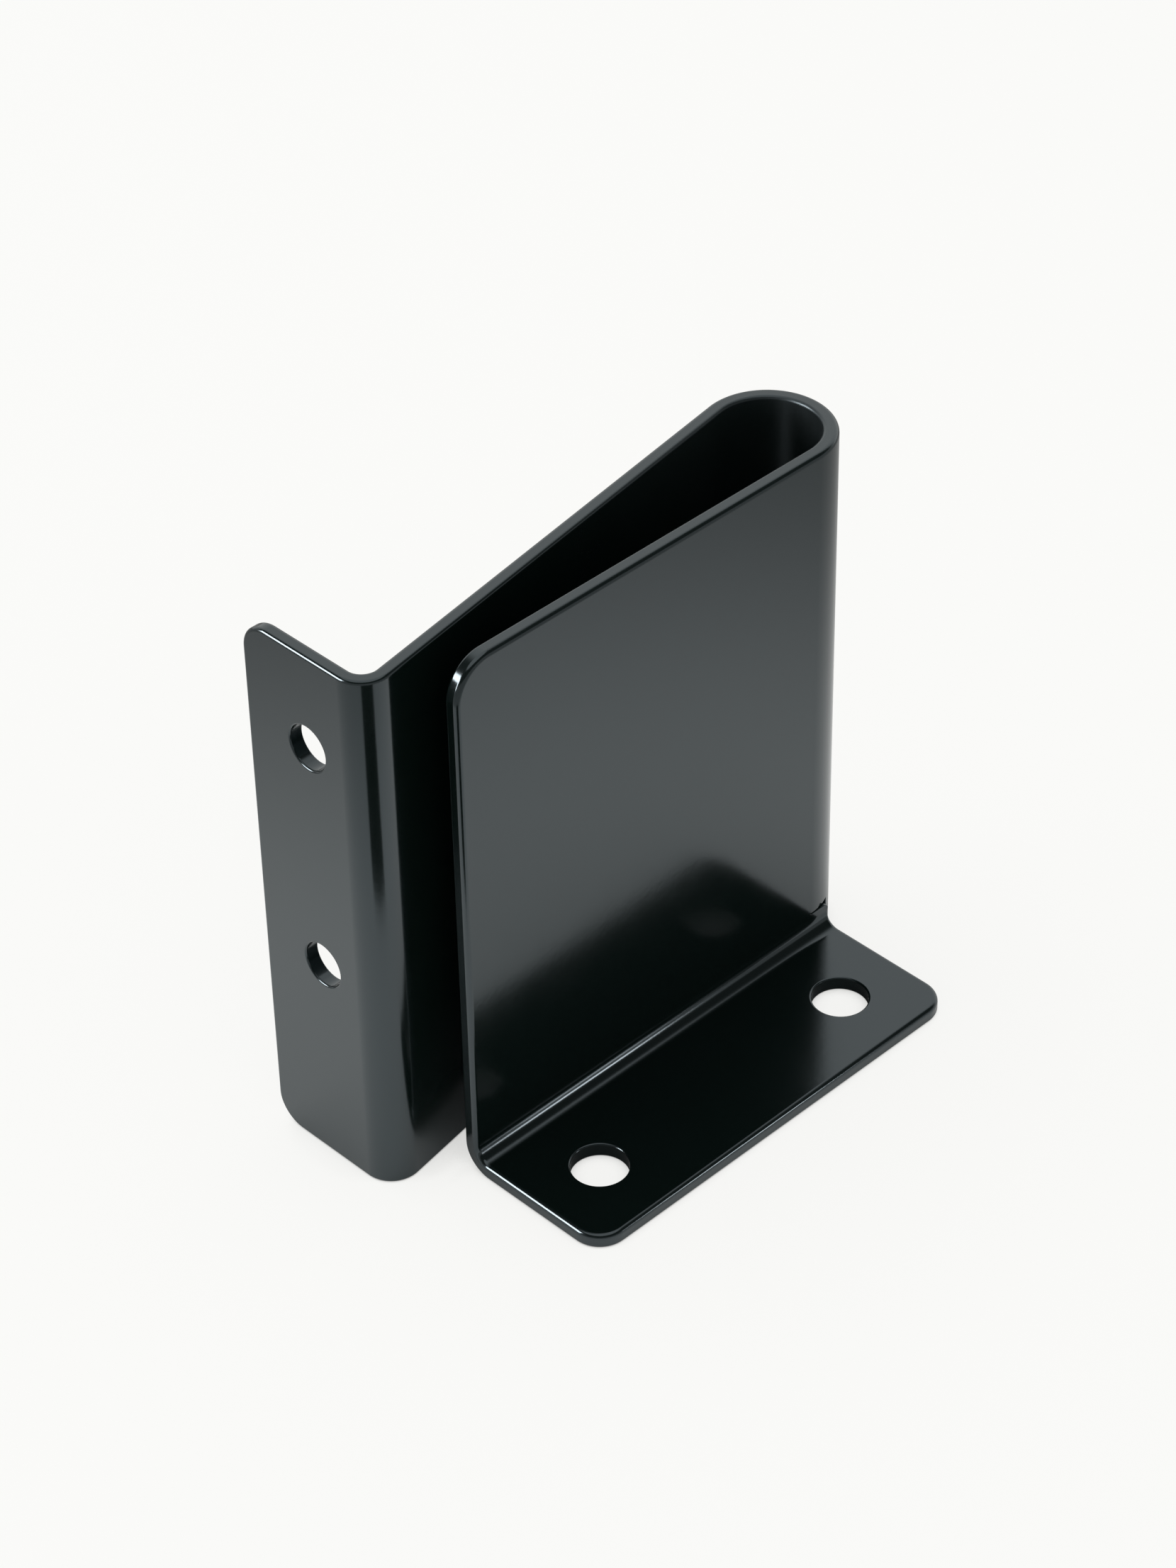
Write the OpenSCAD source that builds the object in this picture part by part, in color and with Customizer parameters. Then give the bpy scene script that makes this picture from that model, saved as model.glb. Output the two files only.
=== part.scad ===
// Bent sheet bracket: one blank, folded three times.
// A front wall and a back wall are joined by a U bend. The front wall's foot is folded out
// into a base flange with two bolt holes, and the back wall's free end is folded away into
// a side flange with two smaller holes. The walls stay open at the top, the bottom and the
// free end.

/* [Sheet] */
// Thickness of the coated sheet
sheet_t = 3; // [2:0.5:4]
// Height of both walls and of the side flange
height = 115; // [100:1:180]

/* [Walls] */
// Flat length of the front wall, from its free end to the U bend
front_len = 90; // [85:1:150]
// Flat length of the back wall, from the U bend to the side bend
back_len = 95; // [60:1:150]
// Inside radius of the U bend
u_bend_r = 10; // [6:0.5:20]
// Clear gap between the two walls where the back wall's flat ends
mouth_gap = 5; // [2:0.5:20]
// Radius of the front wall's free upper corner
wall_corner_r = 8; // [2:0.5:15]

/* [Base flange] */
// Width of the base flange, from the front wall's outer face to its outer edge
base_w = 32; // [30:1:60]
// How far the base flange runs on beside the U bend, past the front wall's flat
base_overhang = 5; // [0:0.5:6]
// Inside radius of the fold between the front wall and the base flange
base_bend_r = 4.5; // [2:0.5:6]
// Radius of the base flange's two outer corners
base_corner_r = 6; // [2:0.5:10]
// Diameter of the base bolt holes
base_hole_d = 11; // [6:0.5:14]
// Distance between the centres of the two base holes
base_hole_pitch = 65; // [40:1:70]
// Distance from the base flange's outer edge to the centres of its holes
base_hole_inset = 15; // [12:0.5:16]

/* [Side flange] */
// Flat width of the side flange, from the side bend to its outer edge
side_flat = 22; // [22:0.5:40]
// Inside radius of the fold between the back wall and the side flange
side_bend_r = 5; // [3:0.5:8]
// Radius of the side flange's two outer corners
side_corner_r = 6; // [2:0.5:10]
// Diameter of the side flange's holes
side_hole_d = 9; // [5:0.5:11]
// Distance between the centres of the two side holes
side_hole_pitch = 49; // [25:1:60]
// Distance from the top edge of the side flange to the centre of its upper hole
side_hole_drop = 20; // [10:1:30]
// Distance from the side flange's outer edge to the centres of its holes
side_hole_inset = 15.5; // [9:0.5:16]

/* [Relief] */
// Width of the cut that frees the end of the base fold from the U bend
relief_w = 0.8; // [0.4:0.1:1.5]

/* [Hidden] */
// Facets in a full circle of the preview
$fn = 96;
// How far a cutter stands out past the faces that it cuts
over = 1;
// Height of the front wall's foot, where the base fold begins
foot_z = sheet_t + base_bend_r;
// Length of the base flange and of its fold
base_len = front_len + base_overhang;

// Distance from the U bend's centre line to the far end of the back wall's slot face
back_reach = sqrt(u_bend_r * u_bend_r + back_len * back_len);
// Angle between the two walls in plan that leaves the mouth gap at the back wall's end
exact_angle = acos((mouth_gap - u_bend_r) / back_reach) - atan2(back_len, u_bend_r);
// Sines of angles close to it, all whole millionths
near_sines = [for (k = [-200:200]) (round(sin(exact_angle) * 1e6) + k) / 1e6];
// How far the cosine that goes with a sine is from a whole millionth
function cosine_miss(s) = let (c = 1e6 * sqrt(1 - s * s)) abs(c - round(c));
near_misses = [for (s = near_sines) cosine_miss(s)];
// The angle that is used, under 0.02 degrees off: its sine and cosine are both short numbers,
// so that the folds and the flats on either side of them meet with no step
wall_angle = asin(near_sines[search(min(near_misses), near_misses)[0]]);

// Turn of the U bend, so that the back wall closes on the front wall
u_turn = 180 + wall_angle;
// Turn of the side bend, so that the side flange stands square to the front wall
side_turn = 90 + wall_angle;
// Outside radius of the U bend
u_outer_r = u_bend_r + sheet_t;
// Turn of the U bend that is cut away beside the end of the base fold, measured on the
// middle of the sheet
relief_turn = (base_overhang + relief_w) / (u_bend_r + sheet_t / 2) * 180 / PI;
// Centre of the side bend in plan
side_x = front_len + back_len * cos(u_turn) + (u_outer_r + side_bend_r) * sin(u_turn);
side_y = u_outer_r + back_len * sin(u_turn) - (u_outer_r + side_bend_r) * cos(u_turn);

// The stretch of a corner's square that lies outside its round, with the corner at the origin
module corner_waste(r) {
    difference() {
        translate([-over, -over]) square(r + over);
        translate([r, r]) circle(r);
    }
}

// Everything within reach of the origin on one side of the Y axis
module half_plane(side, reach) {
    translate([side > 0 ? 0 : -reach, -reach]) square([reach, 2 * reach]);
}

// A ring as wide as the sheet is thick, from -Y round counter-clockwise by the angle turn
module sector(inner_r, turn) {
    outer_r = inner_r + sheet_t;
    reach = outer_r + over;
    difference() {
        rotate(180) circle(outer_r);
        rotate(180) circle(inner_r);
        if (turn > 180) {
            intersection() {
                half_plane(-1, reach);
                rotate(turn) half_plane(1, reach);
            }
        } else {
            half_plane(-1, reach);
            rotate(turn) half_plane(1, reach);
        }
    }
}

// A fold to the left, at the end of a sheet that runs along +X with one face on Y = 0 and
// the other at +Y. The stretches that follow go on from where the sheet runs out of the fold.
module fold_left(inner_r, turn) {
    outer_r = inner_r + sheet_t;
    translate([0, outer_r]) {
        sector(inner_r, turn);
        rotate(turn) translate([0, -outer_r]) children();
    }
}

// The same fold to the right
module fold_right(inner_r, turn) {
    translate([0, -inner_r]) {
        mirror([0, 1]) sector(inner_r, turn);
        rotate(-turn) translate([0, inner_r]) children();
    }
}

// The plan of both walls, the bends and the side flange, which is left a little long
module strip_plan() {
    square([front_len, sheet_t]);
    translate([front_len, 0])
        fold_left(u_bend_r, u_turn) {
            square([back_len, sheet_t]);
            translate([back_len, 0])
                fold_right(side_bend_r, side_turn)
                    square([side_flat + over, sheet_t]);
        }
}

// Takes off the front wall below its foot, where the base fold takes over
module foot_cut() {
    translate([-over, -over, -over])
        cube([front_len + over, sheet_t + 2 * over, foot_z + over]);
}

// The relief: frees the U bend from the end of the base fold, up to just above the foot
module relief_cut() {
    translate([front_len, u_outer_r, -over])
        rotate(-90)
            rotate_extrude(angle = relief_turn)
                translate([u_bend_r - over, 0])
                    square([sheet_t + 2 * over, foot_z + relief_w + over]);
}

// Rounds the front wall's free upper corner
module wall_corner_cut() {
    translate([0, sheet_t + over, height])
        rotate([90, 0, 0])
            linear_extrude(sheet_t + 2 * over)
                mirror([0, 1]) corner_waste(wall_corner_r);
}

// Cuts the side flange to length, rounds its two outer corners and drills its holes
module side_flange_cut() {
    translate([side_x - side_bend_r - sheet_t - over, side_y, 0])
        rotate([90, 0, 90])
            linear_extrude(sheet_t + 2 * over) {
                translate([side_flat, 0]) {
                    square([2 * over, height]);
                    mirror([1, 0]) corner_waste(side_corner_r);
                    translate([0, height]) rotate(180) corner_waste(side_corner_r);
                }
                for (drop = [side_hole_drop, side_hole_drop + side_hole_pitch])
                    translate([side_flat - side_hole_inset, height - drop])
                        circle(d = side_hole_d);
            }
}

// Both walls with the U bend, the side bend and the side flange
module walls() {
    difference() {
        linear_extrude(height) strip_plan();
        foot_cut();
        relief_cut();
        wall_corner_cut();
        side_flange_cut();
    }
}

// The quarter round fold from the front wall's foot down and out to the base flange
module base_fold() {
    translate([0, -base_bend_r, foot_z])
        rotate([0, 90, 0])
            rotate_extrude(angle = 90)
                translate([base_bend_r, 0]) square([sheet_t, base_len]);
}

// The base flange flat on the ground, with rounded outer corners and two bolt holes
module base_flange() {
    translate([0, -base_w, 0])
        linear_extrude(sheet_t)
            difference() {
                square([base_len, base_w - base_bend_r]);
                corner_waste(base_corner_r);
                translate([base_len, 0]) mirror([1, 0]) corner_waste(base_corner_r);
                for (side = [-1, 1])
                    translate([base_len / 2 + side * base_hole_pitch / 2, base_hole_inset])
                        circle(d = base_hole_d);
            }
}

// The whole folded sheet, with the origin midway between the base holes, under the base
module bracket() {
    color("#202426")
        translate([-base_len / 2, base_w - base_hole_inset, 0])
            union() {
                walls();
                base_fold();
                base_flange();
            }
}

bracket();
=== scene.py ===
"""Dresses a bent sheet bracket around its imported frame, and lights it in a small studio."""

import cmath
import math
from types import SimpleNamespace

import bpy
from bpy.props import FloatProperty, FloatVectorProperty, PointerProperty
from mathutils import Matrix, Vector
from mathutils.geometry import delaunay_2d_cdt


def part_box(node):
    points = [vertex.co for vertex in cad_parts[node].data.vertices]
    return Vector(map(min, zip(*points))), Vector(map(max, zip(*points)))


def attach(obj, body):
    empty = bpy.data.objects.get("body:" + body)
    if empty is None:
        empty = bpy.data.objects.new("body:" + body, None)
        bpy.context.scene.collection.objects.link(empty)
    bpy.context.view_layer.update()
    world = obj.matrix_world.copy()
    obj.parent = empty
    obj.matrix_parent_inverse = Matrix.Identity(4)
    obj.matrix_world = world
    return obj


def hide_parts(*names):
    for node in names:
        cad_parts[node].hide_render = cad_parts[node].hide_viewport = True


bl_info = {
    "name": "Bent Sheet Bracket",
    "version": (1, 0, 0),
    "blender": (4, 5, 0),
    "location": "3D View > Sidebar > Bracket",
    "description": "Cuts a sheet blank, folds it into a bracket and sets it in a studio",
    "category": "Object",
}

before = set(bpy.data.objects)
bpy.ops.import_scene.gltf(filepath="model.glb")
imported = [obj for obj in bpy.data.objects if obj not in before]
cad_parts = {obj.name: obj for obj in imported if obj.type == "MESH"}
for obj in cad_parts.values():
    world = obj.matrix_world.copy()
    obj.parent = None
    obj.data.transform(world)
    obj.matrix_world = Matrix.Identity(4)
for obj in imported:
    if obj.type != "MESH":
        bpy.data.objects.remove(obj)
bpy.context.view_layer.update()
CAD_LOW, CAD_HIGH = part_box("bracket")

MM = 0.001
LEAN = math.radians(9.01)
# The side bend is drawn tighter than the solid's, between the same two planes, so that the
# flats on both sides of it run on by this much
SIDE_BEND, SOLID_SIDE_BEND = 3, 5
RUN_ON = (SOLID_SIDE_BEND - SIDE_BEND) * math.tan((math.pi / 2 + LEAN) / 2)

# How many flat steps stand for the U bend, for the side bend, for the base fold, for a quarter
# turn of a corner, for a whole hole and for a quarter turn of a soft cut edge
U_STEPS = 84
SIDE_STEPS = 40
BASE_STEPS = 30
CORNER_STEPS = 20
HOLE_STEPS = 72
EDGE_STEPS = 8
# How far in from the cut edge the faces start, in radii of the soft edge
EDGE_MARGIN = 1.05
# Two places on the blank that are closer than this are the same
TINY = 1e-7
# How much more a spot off a bend line counts than one along it, in the search for its end
OFF_LINE = 20.0

# Settings of nodes that are used more than once
SMOOTH = {"interpolation_type": "SMOOTHSTEP"}
TIMES = {"operation": "MULTIPLY"}
LARGER = {"operation": "MAXIMUM"}
DISTANCE = {"operation": "DISTANCE"}
COLOURS = {"data_type": "RGBA"}

# What a cloudy noise mostly stays between
NOISE_LOW, NOISE_HIGH = 0.3, 0.7
# Depths in the slot, from 0 to 1, where the coat gets duller and where it is dullest
DULLER, DULLEST = 0.2, 0.9

# How open the floor is to the sky where its painted contact shadow is deepest and where it
# ends, and the even white's level where it is deepest
NOOK_DEEPEST, NOOK_END = 0.1, 0.55
NOOK_LEVEL = 0.4
# Where the painted light pool has faded, in radii of the pool
POOL_FADED = 3

# Where the tent's parts show in the gloss. Heights are sines of the angle above the floor.
WALLS_END, GAP_START = 0.28, 0.36
GAP_END, TOP_START = 0.825, 0.865
# The way to the backdrop behind the bracket, and how closely a ray follows it where the gap
# starts to fade and where the backdrop is whole
BACKDROP_WAY = (0.695, 0.719, 0.0)
GAP_FADES, BACKDROP_WHOLE = 0.3, 0.6

# Half the side of the paper floor
FLOOR_REACH = 4.0
# The black card is seen only in the gloss, where it paints a dark strip into the side bend's
# reflection.
# The black card is a piece of a ring round a point by the side bend: how far its inner and
# outer edge are from that point, in which directions its ends lie, and how high it lies
CARD_CENTRE = complex(-0.056, 0.031)
CARD_INNER, CARD_OUTER = 0.09, 0.2
CARD_START, CARD_END = math.radians(221), math.radians(259)
CARD_RISE = 0.001
# How much brighter the left low panel is than the right one
LEFT_SHARE = 1.15

SENSOR_WIDTH = 36.0


def linear(hex_colour):
    """Linear red, green and blue of an sRGB hex colour such as "#fafaf8"."""
    channels = [int(hex_colour[i:i + 2], 16) / 255 for i in (1, 3, 5)]
    return [c / 12.92 if c <= 0.04045 else ((c + 0.055) / 1.055) ** 2.4 for c in channels]


def length(name, description, millimetres):
    """A length property, given in millimetres and kept in metres."""
    return FloatProperty(name=name, description=description, default=millimetres * MM,
                         min=0.0, unit="LENGTH", precision=5)


class BlankSizes(bpy.types.PropertyGroup):
    """Sizes of the flat blank and of its folds."""

    sheet: length("Sheet", "Thickness of the coated sheet", 3)
    height: FloatProperty(name="Height", description="Height of the walls and of the side flange",
                          default=CAD_HIGH.z - CAD_LOW.z, min=0.0, unit="LENGTH", precision=5)
    front: length("Front wall", "Flat length of the front wall", 90)
    back: length("Back wall", "Flat length of the back wall", 95 + RUN_ON)
    side: length("Side flange", "Flat width of the side flange", 22 + RUN_ON)
    base: length("Base flange", "Width of the base flange, from the front wall's outer face", 32)
    overhang: length("Overhang", "How far the base flange runs on beside the U bend", 5)
    u_radius: length("U bend", "Inside radius of the U bend", 10)
    side_radius: length("Side bend", "Inside radius of the side bend", SIDE_BEND)
    base_radius: length("Base fold", "Inside radius of the base fold", 3)
    foot: length("Foot", "Height of the front wall's foot, where the relief slit is", 7.5)
    lean: FloatProperty(name="Lean", description="Angle between the two walls in plan",
                        default=LEAN, subtype="ANGLE")
    slit: length("Relief slit", "Width of the cut that frees the base fold from the U bend", 0.25)
    wall_corner: length("Wall corner", "Radius of the front wall's free upper corner", 8)
    flange_corner: length("Flange corners", "Radius of the four outer flange corners", 6)
    base_hole: length("Base holes", "Radius of the two base holes", 5.5)
    base_hole_pitch: length("Base hole pitch", "Distance between the base holes", 65)
    base_hole_inset: length("Base hole inset", "From the base flange's outer edge to its holes", 15)
    side_hole: length("Side holes", "Radius of the two side holes", 4.5)
    side_hole_pitch: length("Side hole pitch", "Distance between the side holes", 49)
    side_hole_drop: length("Side hole drop", "From the top edge to the upper side hole", 20)
    side_hole_inset: length("Side hole inset", "From the side flange's outer edge to its holes", 15.5)
    outer_edge: length("Outer edge", "Radius of the cut edges on the front wall's outer side", 1.0)
    inner_edge: length("Inner edge", "Radius of the cut edges on the slot's side", 0.7)
    hole_edge: length("Hole edge", "Radius of the holes' edges", 0.4)
    slit_margin: length("Slit margin", "How far round the slit the edges keep its radius", 0.8)
    slit_fade: length("Slit fade", "From the margin to where the edges have their full radius", 4)
    slit_edge: length("Slit edge", "Radius of the relief slit's edges", 0.12)
    nick: length("Nick", "Radius of the relief cut's outer corners", 1.2)


class CoatFinish(bpy.types.PropertyGroup):
    """Look of the black coat."""

    colour: FloatVectorProperty(name="Colour", description="Colour of the coat under its gloss",
                                default=linear("#060e0c"), subtype="COLOR", min=0.0, max=1.0)
    sheen: FloatVectorProperty(name="Gloss tint", description="Tint of what the gloss mirrors",
                               default=(0.79, 0.92, 1.0), subtype="COLOR", min=0.0, max=1.0)
    gloss: FloatProperty(name="Roughness", description="Roughness of the coat's surface",
                         default=0.15, min=0.0, max=1.0)
    dulling: FloatProperty(name="Dulling", description="How much rougher the coat is in the slot",
                           default=2.6, min=1.0)
    mottle: FloatProperty(name="Mottle", description="Share by which the roughness varies",
                          default=0.08, min=0.0, max=1.0)
    cloud: length("Cloud", "Width of one patch of the mottle", 9)
    ior: FloatProperty(name="IOR", description="Index of refraction of the coat's resin",
                       default=1.75, min=1.0, max=3.0)
    peel: length("Orange peel", "Width of one swell of the coat's orange peel", 1.4)
    peel_depth: FloatProperty(name="Peel depth", description="Height of the orange peel's swells",
                              default=0.000004, min=0.0, unit="LENGTH", precision=7)


class StudioSetup(bpy.types.PropertyGroup):
    """Floor, lamps and camera."""

    floor: FloatVectorProperty(name="Floor", description="Colour of the paper floor",
                               default=linear("#fafaf8"), subtype="COLOR", min=0.0, max=1.0)
    evenness: FloatProperty(name="Evenness", description="Share of even white in the floor",
                            default=0.88, min=0.0, max=1.0)
    contact: length("Contact shadow", "Reach of the floor's close contact shadow", 12)
    # The floor's light pool is painted: its mirror images darken with the distance from the pool's
    # centre
    pool: length("Light pool", "Radius of the floor's light pool in its mirror images", 85)
    pool_centre: FloatVectorProperty(name="Pool centre", description="Centre of the light pool",
                                     default=(-0.02, 0.03, 0.0), subtype="XYZ", unit="LENGTH")
    pool_edge: FloatProperty(name="Pool edge", description="Floor's level outside the pool",
                             default=0.4, min=0.0, max=1.0)
    # Painted shade: the level of the mirrored floor in the base holes
    hole_shade_level: FloatProperty(name="Hole level", default=0.15, min=0.0, max=1.0,
                              description="Mirrored floor's level in the base holes")
    # Colour of the card that shows only as a painted dark reflection in the side bend
    card: FloatVectorProperty(name="Card", description="Colour of the black card",
                              default=linear("#262826"), subtype="COLOR", min=0.0, max=1.0)
    fill: FloatProperty(name="Fill", description="Strength of the soft light from all around",
                        default=0.85, min=0.0, max=2.0)
    top_level: FloatProperty(name="Top lamp", description="Brightness of the soft top lamp",
                             default=1.8, min=0.0)
    gap_level: FloatProperty(name="Tent gap", description="Brightness of the tent's dark gap",
                             default=0.06, min=0.0, max=1.0)
    glint: FloatProperty(name="Glint", description="Brightness of the low panels",
                         default=14.0, min=0.0)
    aim: FloatVectorProperty(name="Aim", description="Point that the camera looks at",
                             default=(-0.002673, 0.031858, 0.0575), subtype="XYZ", unit="LENGTH")
    distance: length("Distance", "From the camera to the point that it looks at", 779.93)
    azimuth: FloatProperty(name="Azimuth", description="Turn of the camera round the bracket",
                           default=math.radians(-44.07), subtype="ANGLE")
    elevation: FloatProperty(name="Elevation", description="Height of the camera as an angle",
                             default=math.radians(38.37), subtype="ANGLE")
    roll: FloatProperty(name="Roll", description="Tilt of the camera about its own axis",
                        default=math.radians(-1.19), subtype="ANGLE")
    lens: FloatProperty(name="Focal length", description="Focal length on a 36 mm wide sensor",
                        default=130.2, min=1.0)


def add_node(tree, kind, settings=None, **values):
    """Adds a node to a tree, with its settings and with values or links for its inputs.

    An input goes by its name, with _ for a space, or by its place: i0 is the first one.
    """
    node = tree.nodes.new(kind)
    for name, value in (settings or {}).items():
        setattr(node, name, value)
    for name, value in values.items():
        place = name[1:]
        key = int(place) if name[0] == "i" and place.isdigit() else name.replace("_", " ")
        if isinstance(value, bpy.types.NodeSocket):
            tree.links.new(value, node.inputs[key])
        else:
            node.inputs[key].default_value = value
    return node


def empty_tree(owner):
    """The emptied node tree of a new material or world."""
    owner.use_nodes = True
    owner.node_tree.nodes.clear()
    return owner.node_tree


def sheet_run(start, heading, stretches):
    """The middle line of a folded sheet in one plane, as complex numbers.

    Each stretch is a length and a radius: 0 is flat, above 0 bends left, below 0 bends right.
    Gives a function from a distance along the sheet to the point, heading and curvature there.
    """
    legs = []
    for size, radius in stretches:
        legs.append((start, heading, size, radius))
        if radius:
            turned = heading * cmath.exp(1j * size / radius)
            start += 1j * (heading - turned) * radius
            heading = turned
        else:
            start += heading * size

    def along(distance):
        for start, heading, size, radius in legs[:-1]:
            if distance <= size:
                break
            distance -= size
        else:
            start, heading, size, radius = legs[-1]
        if not radius:
            return start + heading * distance, heading, 0.0
        turned = heading * cmath.exp(1j * distance / radius)
        return start + 1j * (heading - turned) * radius, turned, 1 / radius

    return along


def stations(first, last, count):
    """Evenly spaced positions from first to last, both included."""
    return [first + (last - first) * k / count for k in range(count + 1)]


def rounded_loop(corners, across, up):
    """Columns (s, v, outward s, outward v) round a loop of square corners, anticlockwise.

    Each corner is (s, v, radius). Straight edges are split where the bend lines cross them:
    across lists the lines' places along s, and up those of the other lines along v.
    """
    columns = []
    for i, (s, v, radius) in enumerate(corners):
        before, after = corners[i - 1], corners[(i + 1) % len(corners)]
        here = complex(s, v)
        come = here - complex(*before[:2])
        come /= abs(come)
        go = complex(*after[:2]) - here
        go /= abs(go)
        side = 1 if (go / come).imag > 0 else -1
        centre = here - come * radius + 1j * come * side * radius
        for k in range(CORNER_STEPS + 1):
            out = -1j * come * cmath.exp(1j * side * math.pi / 2 * k / CORNER_STEPS)
            spot = centre + out * side * radius
            columns.append((spot.real, spot.imag, out.real, out.imag))
        start = here + go * radius
        end = complex(*after[:2]) - go * after[2]
        reach = abs(end - start)
        if reach < TINY:
            columns.pop()
        along_s = abs(go.real) > 0.5
        cuts = sorted((p - start.real) / go.real if along_s else (p - start.imag) / go.imag
                      for p in (across if along_s else up))
        for t in cuts:
            if TINY < t < reach - TINY:
                spot = start + go * t
                out = -1j * go
                columns.append((spot.real, spot.imag, out.real, out.imag))
    return columns


def round_hole(s, v, radius):
    """Columns round a hole, clockwise, with their outward side towards the hole."""
    turns = [cmath.exp(-2j * math.pi * k / HOLE_STEPS) for k in range(HOLE_STEPS)]
    return [(s + radius * t.real, v + radius * t.imag, -t.real, -t.imag) for t in turns]


def rim_profile(half, upper, lower):
    """Points (inset, height, outward, upward) over the sheet's cut edge, from face to face.

    The last two are the normal. The edge's radius is upper at the top and lower at the bottom.
    """
    inset = EDGE_MARGIN * max(upper, lower)
    points = []
    for side, radius in ((1, upper), (-1, lower)):
        turn = [(inset, side * half, 0, side)]
        turn += [(radius * (1 - math.sin(a)), side * (half - radius * (1 - math.cos(a))),
                  math.sin(a), side * math.cos(a))
                 for a in stations(0, math.pi / 2, EDGE_STEPS)]
        points += turn[::side]
    return points


def lay_out(sizes):
    """Where the stretches of the flat blank start and end, and the radii of its middle.

    s runs along the strip from the front wall's free end to the side flange's outer edge, and
    v runs up from the front wall's foot. The base flange is the tongue below the foot.
    """
    half = sizes.sheet / 2
    blank = SimpleNamespace(half=half, u_radius=sizes.u_radius + half,
                            side_radius=sizes.side_radius + half,
                            base_radius=sizes.base_radius + half)
    blank.u_arc = blank.u_radius * (math.pi + sizes.lean)
    blank.side_arc = blank.side_radius * (math.pi / 2 + sizes.lean)
    blank.base_arc = blank.base_radius * math.pi / 2
    blank.u_end = sizes.front + blank.u_arc
    blank.back_end = blank.u_end + sizes.back
    blank.side_start = blank.back_end + blank.side_arc
    blank.strip_end = blank.side_start + sizes.side
    blank.base_end = sizes.front + sizes.overhang
    blank.notch_end = blank.base_end + sizes.slit
    blank.top, blank.bottom = sizes.height - sizes.foot, -sizes.foot
    blank.lead = sizes.foot - sizes.sheet - sizes.base_radius
    blank.base_flat = sizes.base - sizes.base_radius
    blank.outer = -blank.lead - blank.base_arc - blank.base_flat
    blank.bends_across = (stations(sizes.front, blank.u_end, U_STEPS)
                          + stations(blank.back_end, blank.side_start, SIDE_STEPS))
    blank.bends_up = stations(-blank.lead, -blank.lead - blank.base_arc, BASE_STEPS)
    return blank


def folding(sizes, blank):
    """The function that takes a point of the flat blank and its normal to the folded sheet."""
    wall_y = sizes.base - sizes.base_hole_inset + blank.half
    walls = sheet_run(complex(-blank.base_end / 2, wall_y), 1 + 0j, [
        (sizes.front, 0), (blank.u_arc, blank.u_radius), (sizes.back, 0),
        (blank.side_arc, -blank.side_radius), (sizes.side, 0)])
    base = sheet_run(complex(wall_y, sizes.foot), -1j, [
        (blank.lead, 0), (blank.base_arc, -blank.base_radius), (blank.base_flat, 0)])

    def fold(s, v, h, normal_s, normal_v, normal_h):
        """The folded place and normal of a point s, v at a height h over the sheet's middle.

        h counts towards the slot, and the normal is given along s, v and h.
        """
        if v < sizes.slit / 2 and s < blank.base_end + sizes.slit / 2:
            middle, heading, bend = base(-v)
            left = 1j * heading
            middle += left * h
            place = Vector((s - blank.base_end / 2, middle.real, middle.imag))
            axis_s = Vector((1, 0, 0))
            axis_v = Vector((0, -heading.real, -heading.imag)) / (1 - h * bend)
            axis_h = Vector((0, left.real, left.imag))
        else:
            middle, heading, bend = walls(s)
            left = 1j * heading
            middle += left * h
            place = Vector((middle.real, middle.imag, sizes.foot + v))
            axis_s = Vector((heading.real, heading.imag, 0)) / (1 - h * bend)
            axis_v = Vector((0, 0, 1))
            axis_h = Vector((left.real, left.imag, 0))
        normal = axis_s * normal_s + axis_v * normal_v + axis_h * normal_h
        return place, normal.normalized()

    return fold


def cut_blank(sizes, blank):
    """The blank's outline and its four holes, each with the rim profile of every column."""
    corner = sizes.flange_corner
    slit_end = sizes.slit / 2
    outline = rounded_loop([
        (0, blank.outer, corner), (blank.base_end, blank.outer, corner),
        (blank.base_end, 0, sizes.nick), (sizes.front, 0, slit_end),
        (sizes.front, sizes.slit, slit_end), (blank.notch_end, sizes.slit, slit_end),
        (blank.notch_end, blank.bottom, sizes.nick), (blank.strip_end, blank.bottom, corner),
        (blank.strip_end, blank.top, corner), (0, blank.top, sizes.wall_corner)],
        blank.bends_across, blank.bends_up)
    base_v = blank.outer + sizes.base_hole_inset
    holes = [round_hole(blank.base_end / 2 + side * sizes.base_hole_pitch / 2, base_v,
                        sizes.base_hole) for side in (-1, 1)]
    side_s = blank.strip_end - sizes.side_hole_inset
    holes += [round_hole(side_s, blank.top - drop, sizes.side_hole)
              for drop in (sizes.side_hole_drop, sizes.side_hole_drop + sizes.side_hole_pitch)]

    def edge_radii(s, v):
        """Radii of the rim's two edges at a point of the outline. They shrink by the slit."""
        away = math.hypot(s - max(sizes.front, min(s, blank.notch_end)),
                          v - max(0, min(v, sizes.slit)))
        full = min(1.0, max(0.0, (away - sizes.slit_margin) / sizes.slit_fade))
        return [sizes.slit_edge + (radius - sizes.slit_edge) * full
                for radius in (sizes.inner_edge, sizes.outer_edge)]

    hole_rim = rim_profile(blank.half, sizes.hole_edge, sizes.hole_edge)
    rims = [rim_profile(blank.half, *edge_radii(s, v)) for s, v, _, _ in outline]
    return [(outline, rims)] + [(hole, [hole_rim] * len(hole)) for hole in holes]


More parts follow.
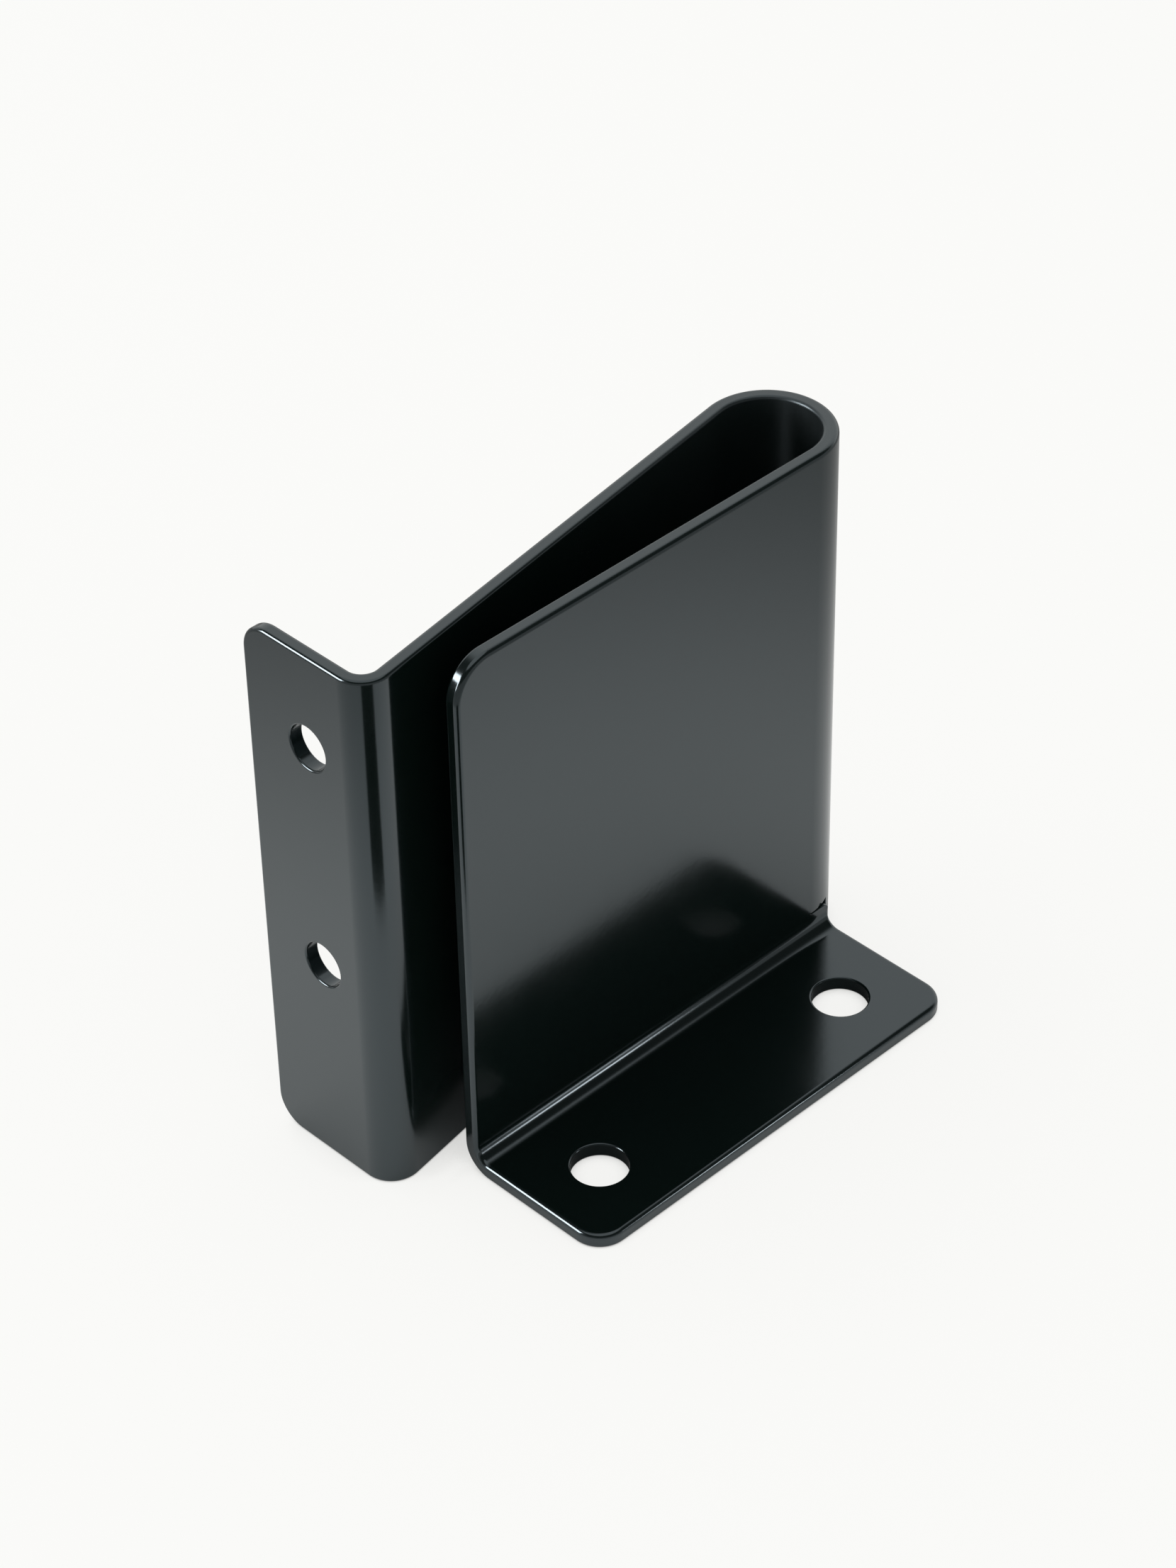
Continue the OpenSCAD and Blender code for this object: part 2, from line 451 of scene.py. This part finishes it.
def face_triangles(sizes, blank, loops, ends):
    """Fills both faces of the blank between the rims, split along the bend lines.

    ends gives, for each loop, the vertices of every column on the upper and lower face.
    """
    spots, owners, spots_of_loops = [], [], []
    for (loop, profiles), pairs in zip(loops, ends):
        first = len(spots)
        for (s, v, out_s, out_v), profile in zip(loop, profiles):
            inset = profile[0][0]
            spots.append(Vector(((s - out_s * inset) / MM, (v - out_v * inset) / MM)))
        owners += pairs
        spots_of_loops.append(list(range(first, len(spots))))
    outline, *holes = spots_of_loops

    def rim_spot(s, v, along_v):
        """The outline's spot where a bend line that runs along v, or else along s, ends."""
        weight_s, weight_v = (OFF_LINE, 1) if along_v else (1, OFF_LINE)
        return min(outline, key=lambda i: math.hypot((spots[i].x - s / MM) * weight_s,
                                                     (spots[i].y - v / MM) * weight_v))

    lines = []
    for s in blank.bends_across:
        low = sizes.slit if s < blank.notch_end + sizes.nick else blank.bottom
        lines.append((rim_spot(s, low, True), rim_spot(s, blank.top, True)))
    for v in blank.bends_up:
        lines.append((rim_spot(0, v, False), rim_spot(blank.base_end, v, False)))
    rounds = [outline] + [hole[::-1] for hole in holes]
    # Kind 0 fills the whole hull, and tells for each triangle which rounds it lies in
    all_spots, _, triangles, origins, _, inside = delaunay_2d_cdt(
        spots, lines, rounds, 0, TINY)
    if len(all_spots) != len(spots):
        raise RuntimeError("the bend lines cross the blank's outline")
    faces = []
    for triangle, around in zip(triangles, inside):
        if sorted(around) == [0]:
            above, below = zip(*(owners[origins[i][0]] for i in triangle))
            faces += [above[::-1], below]
    return faces


def coated_sheet_mesh(name, sizes):
    """The whole bracket as one closed mesh: a flat blank with soft edges, cut and then folded."""
    blank = lay_out(sizes)
    fold = folding(sizes, blank)

    def depth_in_slot(s, h):
        """How deep a point lies in the slot between the walls: 0 outside it, 1 by the U bend."""
        inward = max(0.0, h / blank.half) * min(s, blank.back_end - s) / sizes.front
        return min(1.0, max(0.0, inward))

    places, normals, depths, faces, ends = [], [], [], [], []
    loops = cut_blank(sizes, blank)
    for loop, profiles in loops:
        starts = []
        for (s, v, out_s, out_v), profile in zip(loop, profiles):
            starts.append(len(places))
            for inset, rise, out, over in profile:
                place, normal = fold(s - out_s * inset, v - out_v * inset, rise,
                                     out_s * out, out_v * out, over)
                depths.append(depth_in_slot(s, rise))
                places.append(place)
                normals.append(normal)
        last = len(profile) - 1
        ends.append([(start, start + last) for start in starts])
        for start, after in zip(starts, starts[1:] + starts[:1]):
            faces += [(start + k, after + k, after + k + 1, start + k + 1) for k in range(last)]
    faces += face_triangles(sizes, blank, loops, ends)

    mesh = bpy.data.meshes.new(name)
    mesh.from_pydata(places, [], faces)
    mesh.shade_smooth()
    mesh.update()
    if mesh.validate():
        raise RuntimeError("the folded sheet's mesh has faults")
    mesh.attributes.new("slot_depth", "FLOAT", "POINT").data.foreach_set("value", depths)
    mesh.normals_split_custom_set_from_vertices(normals)
    return mesh


def gloss_black_powder_coat(finish):
    """Black polyester powder, sprayed dry on the folded steel and baked until it flowed.

    To the eye: nearly no colour of its own, a clear mirror of white paper and dark room, a
    slight swell of orange peel that wavers the reflected lines, and a faint mottle in gloss.
    Deep in the slot, which the charged powder hardly gets into, the coat is thin and duller.
    The resin's IOR is near 1.55. It is raised here to mirror as brightly as the real coat.
    """
    material = bpy.data.materials.new("gloss_black_powder_coat")
    tree = empty_tree(material)
    where = add_node(tree, "ShaderNodeTexCoord").outputs["Object"]
    swell = add_node(tree, "ShaderNodeTexNoise", {"noise_dimensions": "3D"}, Vector=where,
                     Scale=1 / finish.peel, Detail=1.0, Roughness=0.4)
    bump = add_node(tree, "ShaderNodeBump", Strength=1.0, Distance=finish.peel_depth,
                    Height=swell.outputs["Fac"])
    cloud = add_node(tree, "ShaderNodeTexNoise", {"noise_dimensions": "3D"}, Vector=where,
                     Scale=1 / finish.cloud, Detail=4.0, Roughness=0.6)
    mottled = add_node(tree, "ShaderNodeMapRange", Value=cloud.outputs["Fac"],
                       From_Min=NOISE_LOW, From_Max=NOISE_HIGH,
                       To_Min=finish.gloss * (1 - finish.mottle),
                       To_Max=finish.gloss * (1 + finish.mottle))
    deep = add_node(tree, "ShaderNodeAttribute", {"attribute_name": "slot_depth"})
    duller = add_node(tree, "ShaderNodeMapRange", Value=deep.outputs["Fac"],
                      From_Min=DULLER, From_Max=DULLEST, To_Min=1.0, To_Max=finish.dulling)
    gloss = add_node(tree, "ShaderNodeMath", TIMES, i0=mottled.outputs["Result"],
                     i1=duller.outputs["Result"])
    coat = add_node(tree, "ShaderNodeBsdfPrincipled", Base_Color=(*finish.colour, 1.0),
                    IOR=finish.ior, Specular_Tint=(*finish.sheen, 1.0),
                    Roughness=gloss.outputs["Value"], Normal=bump.outputs["Normal"])
    add_node(tree, "ShaderNodeOutputMaterial", Surface=coat.outputs["BSDF"])
    return material


def white_paper(studio, hole_place, hole_radius):
    """Matt white paper, bleached and uncoated.

    To the eye: an even white with a soft shadow close to the bracket. Most of what the camera
    sees of it is an even white with a painted contact shadow, darker only in the nooks under
    the bracket. Its mirror images in the coat have a painted pool of light: they fade with the
    distance from the bracket, as under a lamp hung close above it, and have painted shade in
    the base holes, where the sheet round them would shade them.
    """
    material = bpy.data.materials.new("white_paper")
    tree = empty_tree(material)
    colour = (*studio.floor, 1.0)
    path = add_node(tree, "ShaderNodeLightPath").outputs
    seen = add_node(tree, "ShaderNodeMath", LARGER, i0=path["Is Camera Ray"],
                    i1=path["Is Transmission Ray"])
    share = add_node(tree, "ShaderNodeMath", TIMES, i0=seen.outputs["Value"],
                     i1=studio.evenness)
    # Painted contact shadow: ambient occlusion lowers the even white's strength in the nooks under
    # the bracket
    nook = add_node(tree, "ShaderNodeAmbientOcclusion", {"samples": 8}, Distance=studio.contact)
    contact = add_node(tree, "ShaderNodeMapRange", Value=nook.outputs["AO"],
                       From_Min=NOOK_DEEPEST, From_Max=NOOK_END, To_Min=NOOK_LEVEL, To_Max=1.0)
    even = add_node(tree, "ShaderNodeEmission", Color=colour, Strength=contact.outputs["Result"])

    # Painted pool of light: for glossy rays the floor darkens towards the pool's edge level away from
    # the pool's centre
    spot = add_node(tree, "ShaderNodeNewGeometry").outputs["Position"]
    away = add_node(tree, "ShaderNodeVectorMath", DISTANCE, i0=spot,
                    i1=studio.pool_centre).outputs["Value"]
    outside = add_node(tree, "ShaderNodeMapRange", SMOOTH, Value=away, From_Min=studio.pool,
                       From_Max=POOL_FADED * studio.pool, To_Min=0.0, To_Max=1.0)
    dusk = add_node(tree, "ShaderNodeMath", TIMES, i0=outside.outputs["Result"],
                    i1=path["Is Glossy Ray"])
    # Inputs 6 and 7 and output 2 are the mix node's colours
    tone = add_node(tree, "ShaderNodeMix", COLOURS, Factor=dusk.outputs["Value"],
                    i6=colour, i7=(*(c * studio.pool_edge for c in studio.floor), 1.0))
    # Both base holes at once: they lie equally far to both sides of the origin
    either_side = add_node(tree, "ShaderNodeVectorMath", {"operation": "ABSOLUTE"}, i0=spot)
    from_hole = add_node(tree, "ShaderNodeVectorMath", DISTANCE,
                         i0=either_side.outputs["Vector"], i1=hole_place).outputs["Value"]
    # Painted shade: for glossy rays the floor inside the base holes is dimmed, as the sheet round
    # them would shade it
    in_hole = add_node(tree, "ShaderNodeMath", {"operation": "LESS_THAN"}, i0=from_hole,
                       i1=hole_radius)
    shaded = add_node(tree, "ShaderNodeMath", TIMES, i0=in_hole.outputs["Value"],
                      i1=path["Is Glossy Ray"])
    dimmed = add_node(tree, "ShaderNodeMix", COLOURS, Factor=shaded.outputs["Value"],
                      i6=tone.outputs[2],
                      i7=(*(c * studio.hole_shade_level for c in studio.floor), 1.0))
    matt = add_node(tree, "ShaderNodeBsdfDiffuse", Color=dimmed.outputs[2], Roughness=0.0)
    mixed = add_node(tree, "ShaderNodeMixShader", i0=share.outputs["Value"],
                     i1=matt.outputs["BSDF"], i2=even.outputs["Emission"])
    add_node(tree, "ShaderNodeOutputMaterial", Surface=mixed.outputs["Shader"])
    return material


def painted_reflection_felt(studio):
    """Black wool felt for the card that only the gloss sees, where it paints a dark reflection. To
    the eye: a flat black with no shine.
    """
    material = bpy.data.materials.new("painted_reflection_felt")
    tree = empty_tree(material)
    felt = add_node(tree, "ShaderNodeBsdfDiffuse", Color=(*studio.card, 1.0), Roughness=1.0)
    add_node(tree, "ShaderNodeOutputMaterial", Surface=felt.outputs["BSDF"])
    return material


def studio_world(studio):
    """Even white light from all round.

    What shows of it in the gloss is a white tent: a whole backdrop behind the bracket, and on
    the other sides low shaded walls, then a dark gap, and a white top.
    """
    world = bpy.data.worlds.new("studio")
    tree = empty_tree(world)
    way = add_node(tree, "ShaderNodeTexCoord").outputs["Generated"]
    height = add_node(tree, "ShaderNodeSeparateXYZ", Vector=way).outputs["Z"]
    behind = add_node(tree, "ShaderNodeVectorMath", {"operation": "DOT_PRODUCT"}, i0=way,
                      i1=BACKDROP_WAY).outputs["Value"]
    wall_shade = (1 - studio.pool_edge) / (1 - studio.gap_level)
    over_walls = add_node(tree, "ShaderNodeMapRange", SMOOTH, Value=height,
                          From_Min=WALLS_END, From_Max=GAP_START, To_Min=wall_shade, To_Max=1.0)
    under_top = add_node(tree, "ShaderNodeMapRange", SMOOTH, Value=height,
                         From_Min=GAP_END, From_Max=TOP_START, To_Min=1.0, To_Max=0.0)
    aside = add_node(tree, "ShaderNodeMapRange", SMOOTH, Value=behind,
                     From_Min=GAP_FADES, From_Max=BACKDROP_WHOLE, To_Min=1.0, To_Max=0.0)
    band = add_node(tree, "ShaderNodeMath", TIMES, i0=over_walls.outputs["Result"],
                    i1=under_top.outputs["Result"])
    shade = add_node(tree, "ShaderNodeMath", TIMES, i0=band.outputs["Value"],
                     i1=aside.outputs["Result"])
    level = add_node(tree, "ShaderNodeMapRange", Value=shade.outputs["Value"],
                     To_Min=1.0, To_Max=studio.gap_level)
    path = add_node(tree, "ShaderNodeLightPath").outputs
    bright = add_node(tree, "ShaderNodeMath", LARGER, i0=level.outputs["Result"],
                      i1=path["Is Camera Ray"])
    shown = add_node(tree, "ShaderNodeBackground", Color=(*studio.floor, 1.0),
                     Strength=bright.outputs["Value"])
    fill = add_node(tree, "ShaderNodeBackground", Color=(1, 1, 1, 1), Strength=studio.fill)
    direct = add_node(tree, "ShaderNodeMath", LARGER, i0=path["Is Camera Ray"],
                      i1=path["Is Glossy Ray"])
    seen = add_node(tree, "ShaderNodeMath", LARGER, i0=direct.outputs["Value"],
                    i1=path["Is Transmission Ray"])
    mixed = add_node(tree, "ShaderNodeMixShader", i0=seen.outputs["Value"],
                     i1=fill.outputs["Background"], i2=shown.outputs["Background"])
    add_node(tree, "ShaderNodeOutputWorld", Surface=mixed.outputs["Shader"])
    return world


class BRACKET_OT_fold_sheet(bpy.types.Operator):
    """Cut the blank, fold it and coat it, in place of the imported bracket"""

    bl_idname = "bracket.fold_sheet"
    bl_label = "Fold the Sheet"
    bl_options = {"REGISTER", "UNDO"}

    def execute(self, context):
        mesh = coated_sheet_mesh("folded_sheet", context.scene.bracket_sizes)
        piece = bpy.data.objects.new("folded_sheet", mesh)
        context.scene.collection.objects.link(piece)
        mesh.materials.append(gloss_black_powder_coat(context.scene.bracket_finish))
        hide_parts("bracket")
        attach(piece, "root")
        return {"FINISHED"}


def flat_piece(scene, name, corners, material):
    """A flat four-cornered piece of the stage."""
    mesh = bpy.data.meshes.new(name)
    mesh.from_pydata(corners, [], [(0, 1, 2, 3)])
    mesh.materials.append(material)
    piece = bpy.data.objects.new(name, mesh)
    scene.collection.objects.link(piece)
    return piece


def lay_floor(scene, studio, sizes):
    """The paper floor, and the black card that only the gloss of the side bend mirrors: a painted
    dark reflection.
    """
    paper = white_paper(studio, (sizes.base_hole_pitch / 2, 0, 0), sizes.base_hole)
    reach = FLOOR_REACH
    flat_piece(scene, "paper_floor", [(-reach, -reach, 0), (reach, -reach, 0),
                                      (reach, reach, 0), (-reach, reach, 0)], paper)
    corners = [CARD_CENTRE + cmath.rect(out, turn)
               for out, turn in ((CARD_INNER, CARD_START), (CARD_OUTER, CARD_START),
                                 (CARD_OUTER, CARD_END), (CARD_INNER, CARD_END))]
    card = flat_piece(scene, "painted_reflection_card", [(c.real, c.imag, CARD_RISE) for c in corners],
                      painted_reflection_felt(studio))
    # Painted reflection: the card is hidden from the camera, from light and from shadows, and shows
    # only as a dark strip in the gloss
    card.visible_camera = card.visible_diffuse = card.visible_shadow = False


def panel_light(scene, name, place, aim, size, radiance, spread=math.pi):
    """A rectangular softbox that faces a point, with its height upright.

    Its light fades to nothing at half the spread to each side of the way that it faces.
    """
    width, height = size
    lamp = bpy.data.lights.new(name, "AREA")
    lamp.shape = "RECTANGLE"
    lamp.size, lamp.size_y = width, height
    lamp.spread = spread
    kept = 1 - spread / 2 / math.tan(spread / 2)
    lamp.energy = math.pi * width * height * radiance * kept
    light = bpy.data.objects.new(name, lamp)
    light.location = place
    light.visible_camera = False
    light.rotation_euler = (Vector(aim) - Vector(place)).to_track_quat("-Z", "Y").to_euler()
    scene.collection.objects.link(light)
    return light


def hang_lamps(scene, studio):
    """The soft top lamp, which the gloss doesn't mirror, and two low panels only for the gloss.

    The left panel glints inside the U bend, on the front wall's upper corner, on the side
    flange's top edge and on the base flange's left end. The right one draws the light line in
    the base fold and the fine one on the base flange's outer edge.
    """
    top = panel_light(scene, "soft_top", place=(-0.3, 0.5, 1.3), aim=(0, 0, 0), size=(0.9, 0.9),
                      radiance=studio.top_level)
    top.visible_glossy = False
    left = panel_light(scene, "low_left", place=(-0.50, 0.34, 0.29), aim=(-0.045, 0.018, 0.107),
                       size=(0.34, 0.28), radiance=LEFT_SHARE * studio.glint)
    right = panel_light(scene, "low_right", place=(0.127, -0.229, 0.057),
                        aim=(-0.041, 0.016, 0.004), size=(0.048, 0.036),
                        radiance=studio.glint, spread=math.radians(24))
    left.visible_diffuse = right.visible_diffuse = False


def place_camera(scene, studio):
    """A camera at the photograph's viewing angle."""
    azimuth, elevation = studio.azimuth, studio.elevation
    ahead = Vector((-math.sin(azimuth) * math.cos(elevation),
                    math.cos(azimuth) * math.cos(elevation), -math.sin(elevation)))
    right = Vector((math.cos(azimuth), math.sin(azimuth), 0))
    above = right.cross(ahead)
    cos_roll, sin_roll = math.cos(studio.roll), math.sin(studio.roll)
    right, above = right * cos_roll + above * sin_roll, above * cos_roll - right * sin_roll
    lens = bpy.data.cameras.new("camera")
    lens.sensor_fit = "HORIZONTAL"
    lens.sensor_width = SENSOR_WIDTH
    lens.lens = studio.lens
    lens.clip_start, lens.clip_end = 0.01, 20.0
    camera = bpy.data.objects.new("camera", lens)
    axes = Matrix((right, above, -ahead)).transposed()
    place = Vector(studio.aim) - ahead * studio.distance
    camera.matrix_world = Matrix.Translation(place) @ axes.to_4x4()
    scene.collection.objects.link(camera)
    scene.camera = camera


class BRACKET_OT_set_studio(bpy.types.Operator):
    """Lay the paper floor, hang the lamps and place the camera"""

    bl_idname = "bracket.set_studio"
    bl_label = "Set the Studio"
    bl_options = {"REGISTER", "UNDO"}

    def execute(self, context):
        scene = context.scene
        studio = scene.bracket_studio
        lay_floor(scene, studio, scene.bracket_sizes)
        scene.world = studio_world(studio)
        hang_lamps(scene, studio)
        place_camera(scene, studio)
        scene.view_settings.view_transform = "Standard"
        return {"FINISHED"}


class BRACKET_PT_steps(bpy.types.Panel):
    """The steps that build the bracket, in order"""

    bl_label = "Bent Sheet Bracket"
    bl_space_type = "VIEW_3D"
    bl_region_type = "UI"
    bl_category = "Bracket"

    def draw(self, context):
        for step in STEPS:
            self.layout.operator(step.bl_idname)


STEPS = (BRACKET_OT_fold_sheet, BRACKET_OT_set_studio)
GROUPS = {"bracket_sizes": BlankSizes, "bracket_finish": CoatFinish, "bracket_studio": StudioSetup}


def register():
    for group in (*GROUPS.values(), *STEPS, BRACKET_PT_steps):
        bpy.utils.register_class(group)
    for name, group in GROUPS.items():
        setattr(bpy.types.Scene, name, PointerProperty(type=group))


def unregister():
    for name in GROUPS:
        delattr(bpy.types.Scene, name)
    for group in reversed((*GROUPS.values(), *STEPS, BRACKET_PT_steps)):
        bpy.utils.unregister_class(group)


def main():
    register()
    bpy.ops.bracket.fold_sheet()
    bpy.ops.bracket.set_studio()


if __name__ == "__main__":
    main()
